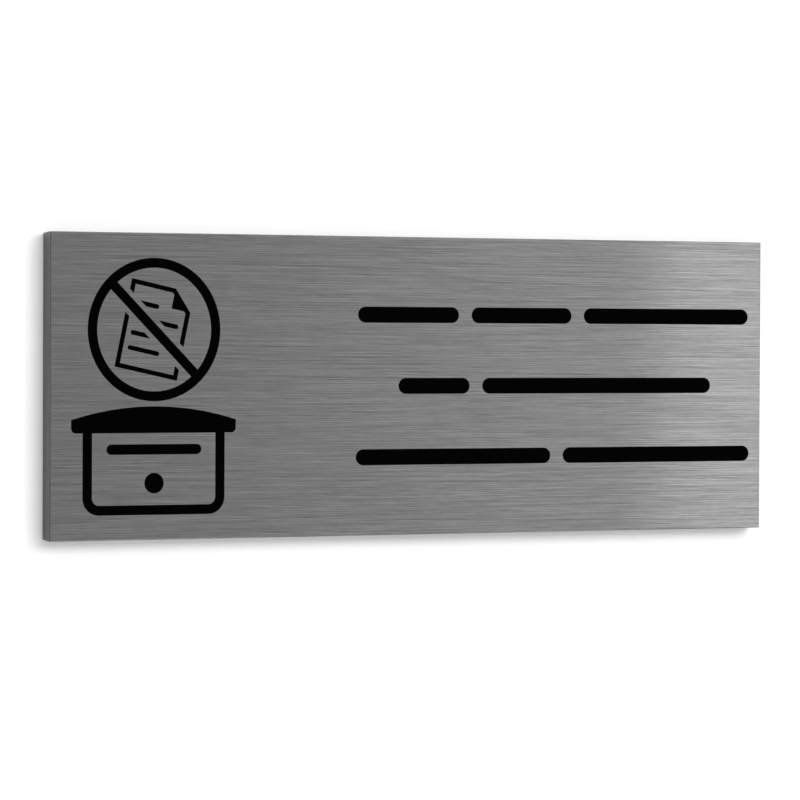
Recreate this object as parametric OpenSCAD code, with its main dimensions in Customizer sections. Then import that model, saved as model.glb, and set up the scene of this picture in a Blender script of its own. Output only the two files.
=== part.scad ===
// No junk mail sign: a small brushed steel plate that is stuck to a letterbox by its back.
// Its front is printed in black, with a pictogram at the left and three centred lines at the right.
// +X runs along the plate, +Z is up and the printed front faces -Y.
// The origin is the centre of the flat back. Sizes are in millimetres.

/* [Plate] */
// Length of the plate
plate_length = 80; // [76:1:160]
// Height of the plate
plate_height = 30; // [27:1:80]
// Thickness of the sheet that the plate is cut from
plate_thickness = 2; // [1:0.1:5]
// Radius of the plate's four corners, seen from the front
corner_r = 0.12; // [0.05:0.01:2]
// Rounding of the edges round the front
front_edge_r = 0.1; // [0.05:0.01:0.4]
// Chamfer of the edges round the back
back_edge_chamfer = 0.1; // [0.05:0.01:0.3]
// How much of the thickness, behind the front, the long edges stay square
square_depth = 0.5; // [0.45:0.05:0.6]
// How far the long edges lean in from there to the back
long_edge_lean = 0.15; // [0.05:0.01:0.3]

/* [Print] */
// Thickness of the black print
print_thickness = 0.05; // [0.02:0.01:0.3]
// Width of the heavy strokes, which draw the letterbox and the no entry sign
heavy_stroke = 0.95; // [0.6:0.05:1.3]
// Width of the light strokes, which draw the leaflet
light_stroke = 0.45; // [0.25:0.05:0.6]
// Bare metal left between strokes that pass close by
print_gap = 0.5; // [0.3:0.05:0.8]

/* [No entry sign] */
// From the plate's left edge to the middle of the pictogram
pictogram_inset = 10.9; // [9.5:0.1:14]
// Diameter over the ring
ring_d = 14; // [13:0.1:15]
// Angle of the bar across the ring
bar_angle = -45; // [-60:1:-30]

/* [Leaflet] */
// Width of the leaflet
leaflet_width = 6.7; // [5:0.1:7]
// Height of the leaflet
leaflet_height = 8.8; // [7:0.1:9]
// Size of the leaflet's folded corner
leaflet_fold = 2; // [1.2:0.1:2.4]
// Lean of the leaflet to the right
leaflet_lean = 12; // [-20:1:20]
// From one line of small print to the next
leaflet_pitch = 1.5; // [1.2:0.05:1.6]

/* [Letterbox] */
// Width of the letterbox's lid
lid_width = 17.4; // [14:0.1:18]
// Height of the lid at its middle
lid_height = 2.6; // [2:0.1:3.5]
// Rise of the lid's curved top above its two ends
lid_rise = 1.3; // [0.5:0.1:1.5]
// Radius of the lid's lower corners
lid_corner_r = 0.5; // [0.1:0.05:0.6]
// Width of the letterbox under its lid
box_width = 15; // [13:0.1:16]
// Height of the letterbox under its lid
box_height = 8; // [7:0.1:9]
// Radius of the letterbox's lower corners
box_corner_r = 1.7; // [1.5:0.1:3]
// Length of the slot
slot_length = 10; // [6:0.1:11]
// Height of the slot
slot_height = 1; // [0.6:0.05:1.2]
// From the lid down to the middle of the slot
slot_drop = 1.6; // [1.2:0.1:1.8]
// Diameter of the lock
lock_d = 2; // [1.6:0.1:2.2]
// From the letterbox's bottom up to the middle of the lock
lock_rise = 3.1; // [3:0.1:3.4]

/* [Lines] */
// From the plate's right edge to the middle of the lines
lines_inset = 24.3; // [23.5:0.1:30]
// Height of the bar that stands for a word
word_height = 1.6; // [0.6:0.05:2]
// Gap from one word to the next
word_gap = 1.5; // [0.8:0.1:2]
// From one line to the next
line_pitch = 7.15; // [4:0.05:8.5]

/* [Hidden] */
$fn = 96;

// Lengths of the words, line by line from the top
words = [[11.3, 11.5, 19.6], [8.0, 26.8], [22.1, 22.2]];
// Lines of small print on the leaflet, each as a share of the room between its sides
leaflet_lines = [0.5, 1, 1, 0.7];
// What a corner cut at 45 degrees loses of its length when its outline moves in by one
cut_corner_loss = 2 - sqrt(2);

pictogram_height = ring_d + print_gap + lid_height + box_height;
ring_z = (pictogram_height - ring_d) / 2;
box_z = -pictogram_height / 2;
pictogram_x = pictogram_inset - plate_length / 2;
lines_x = plate_length / 2 - lines_inset;

// Sum of the first n values of a list
function sum(list, n) = n == 0 ? 0 : list[n - 1] + sum(list, n - 1);

// Rectangle with round corners, about the origin
module round_rect(width, height, r) {
    square([width - 2 * r, height], center = true);
    square([width, height - 2 * r], center = true);
    for (x = [-1, 1], y = [-1, 1]) {
        translate([x * (width / 2 - r), y * (height / 2 - r)]) circle(r);
    }
}

// Bar with round ends, from the origin to the right
module bar(length, height) {
    translate([height / 2, -height / 2]) square([length - height, height]);
    for (x = [height / 2, length - height / 2]) {
        translate([x, 0]) circle(d = height);
    }
}

// Section across the plate: the back lies on y = 0 and the front on y = plate_thickness.
// Its sides stay square, or lean in towards the back.
module plate_section(width, lean) {
    half = width / 2;
    side = [
        [half, plate_thickness],
        if (lean > 0) [half, plate_thickness - square_depth],
        [half - lean, back_edge_chamfer],
        [half - lean - back_edge_chamfer, 0]
    ];
    intersection() {
        translate([0, plate_thickness - width / 2]) round_rect(width, width, front_edge_r);
        polygon([each side, for (i = [len(side) - 1 : -1 : 0]) [-side[i][0], side[i][1]]]);
    }
}

// Stands a flat drawing up to face the front, so that it reaches from y = -from forwards
module stand(from, thickness) {
    translate([0, -from, 0]) rotate([90, 0, 0]) linear_extrude(thickness) children();
}

// Black print of a flat drawing on the front of the plate
module print_on_front() {
    color("black") stand(plate_thickness, print_thickness) children();
}

// Outline of the leaflet, with its top right corner folded away, moved in by an inset
module leaflet_outline(inset) {
    right = leaflet_width / 2 - inset;
    top = leaflet_height / 2 - inset;
    fold = leaflet_fold - inset * cut_corner_loss;
    polygon([[-right, -top], [right, -top], [right, top - fold], [right - fold, top], [-right, top]]);
}

// Leaflet with its folded corner and its lines of small print
module leaflet() {
    line_length = leaflet_width - 2 * (light_stroke + print_gap);
    last = len(leaflet_lines) - 1;
    difference() {
        leaflet_outline(0);
        leaflet_outline(light_stroke);
    }
    translate([leaflet_width / 2 - leaflet_fold, leaflet_height / 2 - leaflet_fold]) {
        polygon([[0, 0], [leaflet_fold, 0], [0, leaflet_fold]]);
    }
    for (i = [0 : last]) {
        translate([-line_length / 2, leaflet_pitch * (last / 2 - i)]) {
            bar(line_length * leaflet_lines[i], light_stroke);
        }
    }
}

// Bar across the ring, widened by a margin on each side
module cross_bar(margin) {
    rotate(bar_angle) square([ring_d - heavy_stroke, heavy_stroke + 2 * margin], center = true);
}

// No entry sign over a leaflet, which keeps a gap from the ring and from the bar
module no_entry() {
    inner_d = ring_d - 2 * heavy_stroke;
    difference() {
        circle(d = ring_d);
        circle(d = inner_d);
    }
    cross_bar(0);
    difference() {
        intersection() {
            rotate(-leaflet_lean) leaflet();
            circle(d = inner_d - 2 * print_gap);
        }
        cross_bar(print_gap);
    }
}

// Curved lid of the letterbox, with its middle standing on the origin
module lid() {
    arc_r = lid_width * lid_width / (8 * lid_rise) + lid_rise / 2;
    intersection() {
        translate([0, lid_height - arc_r]) circle(arc_r);
        translate([0, lid_height / 2]) round_rect(lid_width, lid_height, lid_corner_r);
    }
}

// Sides and floor of the letterbox as one stroke, hanging from the origin
module box_outline() {
    height = 2 * box_height;
    walls = 2 * heavy_stroke;
    intersection() {
        difference() {
            round_rect(box_width, height, box_corner_r);
            round_rect(box_width - walls, height - walls, box_corner_r - heavy_stroke);
        }
        translate([-box_width / 2, -box_height]) square([box_width, box_height]);
    }
}

// Front of a letterbox with its lid, slot and lock, standing on the origin
module letterbox() {
    translate([0, box_height]) {
        lid();
        box_outline();
        translate([-slot_length / 2, -slot_drop]) bar(slot_length, slot_height);
    }
    translate([0, lock_rise]) circle(d = lock_d);
}

// One line of words, centred on the origin
module line(lengths) {
    count = len(lengths);
    total = sum(lengths, count) + word_gap * (count - 1);
    for (i = [0 : count - 1]) {
        translate([sum(lengths, i) + word_gap * i - total / 2, 0]) bar(lengths[i], word_height);
    }
}

module plate() {
    color("gray") intersection() {
        stand(0, plate_thickness) round_rect(plate_length, plate_height, corner_r);
        rotate([90, 0, 90]) linear_extrude(plate_length, center = true) {
            rotate(90) plate_section(plate_height, long_edge_lean);
        }
        linear_extrude(plate_height, center = true) {
            mirror([0, 1]) plate_section(plate_length, 0);
        }
    }
}

module printed_pictogram() {
    print_on_front() translate([pictogram_x, 0]) {
        translate([0, ring_z]) no_entry();
        translate([0, box_z]) letterbox();
    }
}

module printed_lines() {
    last = len(words) - 1;
    print_on_front() for (i = [0 : last]) {
        translate([lines_x, line_pitch * (last / 2 - i)]) line(words[i]);
    }
}

plate();
printed_pictogram();
printed_lines();
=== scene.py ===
# Looks and studio of the no junk mail sign: brushed steel, black print, a white wall and soft light.
# Sizes are in millimetres and turned into metres by mm(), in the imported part's own frame.
import math

import bpy
from mathutils import Euler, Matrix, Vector


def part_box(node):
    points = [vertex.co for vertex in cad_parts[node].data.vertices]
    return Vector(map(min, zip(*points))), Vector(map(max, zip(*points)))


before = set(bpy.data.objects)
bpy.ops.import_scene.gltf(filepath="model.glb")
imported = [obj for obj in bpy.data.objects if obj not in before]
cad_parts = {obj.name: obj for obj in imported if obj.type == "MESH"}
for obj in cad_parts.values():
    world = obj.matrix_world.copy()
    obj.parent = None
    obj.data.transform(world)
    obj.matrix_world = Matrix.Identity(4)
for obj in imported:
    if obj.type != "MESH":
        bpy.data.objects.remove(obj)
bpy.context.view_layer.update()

METRES_PER_MM = 0.001

# Camera, from the outline of the plate in the photograph
IMAGE_WIDTH = 800
FOCAL_PIXELS = 4051
SENSOR_WIDTH = 36
CAMERA_PLACE = (-183.59, -367.04, 5.24)
CAMERA_YAW = 26.41
CAMERA_PITCH = -0.936
CAMERA_ROLL = 0.25
CAMERA_CLIP = (10, 36000)

# Brushed steel: each set of streaks has a length, a width and a share of the contrast
STEEL_COLOUR = 0.28
STEEL_ROUGHNESS = 0.105
STREAKS = ((15.0, 0.085, 0.82), (3.2, 0.093, 0.50), (0.9, 0.101, 0.22))
# How far each row of streaks is moved on from the row below it, in lengths of the streak
STREAK_STAGGER = 0.37
# What the streaks add to the steel's colour, as a share of it, and to its roughness
STREAK_CONTRAST = 0.78
STREAK_ROUGHNESS = -0.06
STREAK_BUMP = 0.22

# Where a face turns into an end of the plate, by how far its normal points sideways, and where it
# turns into a cut edge, darkened by its duller tone and by painted shade, by how far it points sideways
# plus a share of how far it points up or down
END_SLOPE = (0.5, 0.8)
CUT_EDGE_SLOPE = (0.3, 0.6)
UPWARDS_SHARE = 0.6
# What a cut edge keeps of the steel's colour: partly the duller steel of a cut edge, partly painted shade
# that makes the ends and the rounding next to them darker than their light does
CUT_EDGE_TONE_AND_PAINTED_SHADE = 0.315

# Black print, with a fine grain in its tone, its roughness and its surface
PRINT_TONE = (0.0003, 0.0009)
PRINT_ROUGHNESS = (0.5, 0.6)
PRINT_SPECULAR = 0.01
PRINT_BUMP = 0.15
GRAINS_PER_MM = 6.0
GRAIN_DETAIL = 3.0
# The range that holds most values of a noise, and the depth of a bump
NOISE_RANGE = (0.3, 0.7)
BUMP_DEPTH = 0.01

# Studio: the level of the room by azimuth in degrees from the front of the plate, positive to the
# right. Its two ends hold for all that is behind.
ROOM_SIDE = 100
ROOM = (
    (-ROOM_SIDE, 0.50),
    (-85, 0.75),
    (-30, 0.62),
    (15, 0.47),
    (21, 0.53),
    (24.5, 0.625),
    (28.5, 0.86),
    (40, 0.90),
    (55, 0.48),
    (85, 0.48),
    (ROOM_SIDE, 0.50),
)
# A tall soft box at the right: where its soft left edge and its soft right edge start and end
SOFT_BOX_LEVEL = 1.46
SOFT_BOX_LEFT = (29.95, 30.4)
SOFT_BOX_RIGHT = (44, 52)
# Key lamp, which draws the shadow on the wall
KEY_PLACE = (480, -1000, 448)
KEY_SIZE = (1072, 508)
KEY_POWER = 9.6
WALL_COLOUR = 0.85
# How far the wall stands behind the plate, and how far it reaches in behind the plate's outline
WALL_GAP = 0.1
WALL_OVERLAP = 0.3
FLOOR_COLOUR = 0.55
FLOOR_DROP = 300
STAGE_SIZE = 3600
# Light that the wall and the floor give off where they are seen or mirrored
STAGE_LIFT = 0.195
# Mottle of their paint: how far it strays from the colour, and how fine it is
MOTTLE = 0.01
MOTTLES_PER_METRE = 40.0
MOTTLE_DETAIL = 2.0


def mm(value):
    """Millimetres as metres, for a number or for each part of a vector."""
    return (value if isinstance(value, (int, float)) else Vector(value)) * METRES_PER_MM


class Nodes:
    """A short way to write a node tree."""

    def __init__(self, tree):
        self.tree = tree
        tree.nodes.clear()

    def add(self, kind, inputs=(), **settings):
        node = self.tree.nodes.new(kind)
        for name, value in settings.items():
            setattr(node, name, value)
        for name, value in dict(inputs).items():
            self.put(value, node.inputs[name])
        return node

    def put(self, value, socket):
        """Link a socket's output, or write down a value, at the input of a node."""
        if isinstance(value, bpy.types.NodeSocket):
            self.tree.links.new(value, socket)
        else:
            socket.default_value = value

    def math(self, operation, a, b=0.0, c=0.0):
        return self.add("ShaderNodeMath", {0: a, 1: b, 2: c}, operation=operation).outputs[0]

    def scaled(self, vector, factor):
        inputs = {0: vector, 1: (factor, factor, factor)}
        return self.add("ShaderNodeVectorMath", inputs, operation="MULTIPLY").outputs["Vector"]

    def mixed(self, share, a, b, kind="FLOAT"):
        """a where share is 0 and b where it is 1."""
        node = self.add("ShaderNodeMix", data_type=kind)
        wanted = {"FLOAT": "VALUE", "VECTOR": "VECTOR", "RGBA": "RGBA"}[kind]
        sockets = [s for s in node.inputs if s.type == wanted and s.name in ("A", "B")]
        factor = next(s for s in node.inputs if s.name == "Factor" and s.type == "VALUE")
        self.put(share, factor)
        self.put(a, sockets[0])
        self.put(b, sockets[1])
        return next(s for s in node.outputs if s.type == wanted)

    def ranged(self, value, low, high, new_low, new_high):
        node = self.add(
            "ShaderNodeMapRange",
            {"Value": value, "From Min": low, "From Max": high, "To Min": new_low, "To Max": new_high},
        )
        return node.outputs["Result"]

    def noise(self, vector, detail=0.0, dimensions="3D"):
        inputs = {"Vector": vector, "Scale": 1.0, "Detail": detail}
        return self.add("ShaderNodeTexNoise", inputs, noise_dimensions=dimensions).outputs["Fac"]

    def bump(self, height, strength):
        inputs = {"Height": height, "Strength": strength, "Distance": mm(BUMP_DEPTH)}
        return self.add("ShaderNodeBump", inputs).outputs["Normal"]

    def grey(self, value):
        return self.add("ShaderNodeCombineColor", {"Red": value, "Green": value, "Blue": value}).outputs[0]


def new_material(name):
    material = bpy.data.materials.new(name)
    material.use_nodes = True
    return material, Nodes(material.node_tree)


def finish_material(nodes, shader):
    nodes.add("ShaderNodeOutputMaterial", {"Surface": shader.outputs[0]})


def brushed_steel():
    material, nodes = new_material("brushed_steel")
    coordinates = nodes.add("ShaderNodeTexCoord").outputs
    place = nodes.scaled(coordinates["Object"], 1 / METRES_PER_MM)
    place = nodes.add("ShaderNodeSeparateXYZ", {"Vector": place}).outputs
    normal = nodes.add("ShaderNodeSeparateXYZ", {"Vector": coordinates["Normal"]}).outputs
    sideways = nodes.math("ABSOLUTE", normal["X"])
    upwards = nodes.math("ABSOLUTE", normal["Z"])
    # One on the left and right ends of the plate
    ends = nodes.ranged(sideways, *END_SLOPE, 0.0, 1.0)
    # One on the four cut edges, with more of the rounding at the ends than along the plate. There the
    # steel is darkened by a cut edge's duller tone and by painted shade, and its sheen is turned
    slope = nodes.math("MULTIPLY_ADD", upwards, UPWARDS_SHARE, c=sideways)
    edges = nodes.ranged(slope, *CUT_EDGE_SLOPE, 0.0, 1.0)

    # The streaks run along X, or up the two ends. They add up to a height about zero, and the longest
    # of them are deep enough to tilt the sheen.
    along = nodes.mixed(ends, place["X"], place["Z"])
    across = nodes.math("ADD", place["Y"], nodes.mixed(ends, place["Z"], place["X"]))
    streak = 0.0
    groove = None
    for length, width, share in STREAKS:
        row = nodes.math("DIVIDE", across, width)
        start = nodes.math("MULTIPLY", row, STREAK_STAGGER)
        step = nodes.math("ADD", nodes.math("DIVIDE", along, length), start)
        cell = nodes.add("ShaderNodeCombineXYZ", {"X": step, "Y": row}).outputs[0]
        height = nodes.math("SUBTRACT", nodes.noise(cell, dimensions="2D"), 0.5)
        streak = nodes.math("MULTIPLY_ADD", height, share, c=streak)
        groove = groove or streak
    # Cut edges darker: partly their duller cut steel, partly painted shade
    cut_edge_tone_and_shade = nodes.mixed(edges, 1.0, CUT_EDGE_TONE_AND_PAINTED_SHADE)
    tone = nodes.math("MULTIPLY_ADD", streak, STREAK_CONTRAST, c=1.0)
    colour = nodes.math("MULTIPLY", nodes.math("MULTIPLY", tone, cut_edge_tone_and_shade), STEEL_COLOUR)
    shader = nodes.add(
        "ShaderNodeBsdfPrincipled",
        {
            "Base Color": nodes.grey(colour),
            "Metallic": 1.0,
            "Roughness": nodes.math("MULTIPLY_ADD", streak, STREAK_ROUGHNESS, c=STEEL_ROUGHNESS),
            "Anisotropic": 1.0,
            # The sheen spreads across the brushing: up the plate, and through it on a cut edge
            "Tangent": nodes.mixed(edges, (0.0, 0.0, 1.0), (0.0, 1.0, 0.0), "VECTOR"),
            "Normal": nodes.bump(groove, STREAK_BUMP),
        },
    )
    finish_material(nodes, shader)
    return material


def black_print():
    material, nodes = new_material("black_print")
    place = nodes.add("ShaderNodeTexCoord").outputs["Object"]
    place = nodes.scaled(nodes.scaled(place, 1 / METRES_PER_MM), GRAINS_PER_MM)
    grain = nodes.noise(place, GRAIN_DETAIL)
    shader = nodes.add(
        "ShaderNodeBsdfPrincipled",
        {
            "Base Color": nodes.grey(nodes.ranged(grain, *NOISE_RANGE, *PRINT_TONE)),
            "Roughness": nodes.ranged(grain, *NOISE_RANGE, *PRINT_ROUGHNESS),
            "Specular IOR Level": PRINT_SPECULAR,
            "Normal": nodes.bump(grain, PRINT_BUMP),
        },
    )
    finish_material(nodes, shader)
    return material


def painted(nodes, colour):
    """Matt paint with a faint mottle, lifted a little where it is seen or mirrored."""
    place = nodes.add("ShaderNodeTexCoord").outputs["Object"]
    grain = nodes.noise(nodes.scaled(place, MOTTLES_PER_METRE), MOTTLE_DETAIL)
    tint = nodes.grey(nodes.ranged(grain, 0.0, 1.0, colour - MOTTLE, colour + MOTTLE))
    paint = nodes.add("ShaderNodeBsdfDiffuse", {"Color": tint})
    rays = nodes.add("ShaderNodeLightPath").outputs
    seen = nodes.math("MAXIMUM", rays["Is Camera Ray"], rays["Is Glossy Ray"])
    seen = nodes.math("MAXIMUM", seen, rays["Is Transmission Ray"])
    lift = nodes.add("ShaderNodeEmission", {"Strength": nodes.math("MULTIPLY", seen, STAGE_LIFT)})
    return nodes.add("ShaderNodeAddShader", {0: paint.outputs[0], 1: lift.outputs[0]})


def wall_paint():
    """White from the front and clear from behind, so that the back of the sign shows."""
    material, nodes = new_material("wall_paint")
    paint = painted(nodes, WALL_COLOUR)
    behind = nodes.add("ShaderNodeNewGeometry").outputs["Backfacing"]
    clear = nodes.add("ShaderNodeBsdfTransparent")
    shader = nodes.add("ShaderNodeMixShader", {0: behind, 1: paint.outputs[0], 2: clear.outputs[0]})
    finish_material(nodes, shader)
    return material


def floor_paint():
    material, nodes = new_material("floor_paint")
    finish_material(nodes, painted(nodes, FLOOR_COLOUR))
    return material


def dress():
    steel = brushed_steel()
    black = black_print()
    for name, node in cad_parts.items():
        node.data.materials.clear()
        node.data.materials.append(steel if name == "plate" else black)
        for face in node.data.polygons:
            face.material_index = 0


def sheet(name, corners, faces, material):
    mesh = bpy.data.meshes.new(name)
    mesh.from_pydata([Vector(c) for c in corners], [], faces)
    mesh.materials.append(material)
    piece = bpy.data.objects.new(name, mesh)
    bpy.context.scene.collection.objects.link(piece)


def make_wall():
    """White wall that carries the sign. It is open behind the sign, a little inside its outline."""
    low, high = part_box("plate")
    margin = mm(WALL_OVERLAP)
    half = mm(STAGE_SIZE) / 2
    floor = -mm(FLOOR_DROP)
    outer = [(-half, floor), (half, floor), (half, half), (-half, half)]
    inner = [
        (low[0] + margin, low[2] + margin),
        (high[0] - margin, low[2] + margin),
        (high[0] - margin, high[2] - margin),
        (low[0] + margin, high[2] - margin),
    ]
    corners = [(x, high[1] + mm(WALL_GAP), z) for x, z in outer + inner]
    faces = [(i, (i + 1) % 4, 4 + (i + 1) % 4, 4 + i) for i in range(4)]
    sheet("wall", corners, faces, wall_paint())


def make_floor():
    half = mm(STAGE_SIZE) / 2
    z = -mm(FLOOR_DROP)
    corners = [(-half, -half, z), (half, -half, z), (half, half, z), (-half, half, z)]
    sheet("floor", corners, [(0, 1, 2, 3)], floor_paint())


def make_key_light():
    """Large soft lamp at the upper right, parallel to the wall. It leaves no glare on the metal."""
    light = bpy.data.lights.new("key_light", "AREA")
    light.shape = "RECTANGLE"
    light.size = mm(KEY_SIZE[0])
    light.size_y = mm(KEY_SIZE[1])
    light.energy = KEY_POWER
    lamp = bpy.data.objects.new("key_light", light)
    lamp.location = mm(KEY_PLACE)
    lamp.rotation_euler = (math.radians(90), 0, 0)
    lamp.visible_camera = False
    lamp.visible_glossy = False
    bpy.context.scene.collection.objects.link(lamp)


def make_room():
    """World with the levels of ROOM round the sign, the same at every height, and the soft box."""
    world = bpy.data.worlds.new("room")
    bpy.context.scene.world = world
    world.use_nodes = True
    nodes = Nodes(world.node_tree)
    direction = nodes.add("ShaderNodeTexCoord").outputs["Generated"]
    direction = nodes.add("ShaderNodeSeparateXYZ", {"Vector": direction}).outputs
    azimuth = nodes.math("ARCTAN2", direction["X"], nodes.math("MULTIPLY", direction["Y"], -1.0))
    side = math.radians(ROOM_SIDE)
    ramp = nodes.add("ShaderNodeValToRGB", {"Fac": nodes.ranged(azimuth, -side, side, 0.0, 1.0)})
    stops = ramp.color_ramp.elements
    stops.remove(stops[1])
    for index, (angle, level) in enumerate(ROOM):
        place = 0.5 + 0.5 * angle / ROOM_SIDE
        stop = stops[0] if index == 0 else stops.new(place)
        stop.position = place
        stop.color = (level, level, level, 1.0)
    degrees = nodes.math("DEGREES", azimuth)
    left = nodes.ranged(degrees, *SOFT_BOX_LEFT, 0.0, 1.0)
    right = nodes.ranged(degrees, *SOFT_BOX_RIGHT, 1.0, 0.0)
    soft_box = (SOFT_BOX_LEVEL, SOFT_BOX_LEVEL, SOFT_BOX_LEVEL, 1.0)
    light = nodes.mixed(nodes.math("MULTIPLY", left, right), ramp.outputs["Color"], soft_box, "RGBA")
    background = nodes.add("ShaderNodeBackground", {"Color": light, "Strength": 1.0})
    nodes.add("ShaderNodeOutputWorld", {"Surface": background.outputs[0]})


def make_camera():
    data = bpy.data.cameras.new("camera")
    data.sensor_width = SENSOR_WIDTH
    data.lens = SENSOR_WIDTH * FOCAL_PIXELS / IMAGE_WIDTH
    data.clip_start = mm(CAMERA_CLIP[0])
    data.clip_end = mm(CAMERA_CLIP[1])
    camera = bpy.data.objects.new("camera", data)
    camera.location = mm(CAMERA_PLACE)
    turn = Euler((math.radians(90 + CAMERA_PITCH), 0, math.radians(-CAMERA_YAW)), "XYZ").to_matrix()
    roll = Euler((0, 0, math.radians(CAMERA_ROLL)), "XYZ").to_matrix()
    camera.rotation_euler = (turn @ roll).to_euler()
    bpy.context.scene.collection.objects.link(camera)
    bpy.context.scene.camera = camera


dress()
make_wall()
make_floor()
make_room()
make_key_light()
make_camera()
bpy.context.scene.view_settings.view_transform = "Standard"
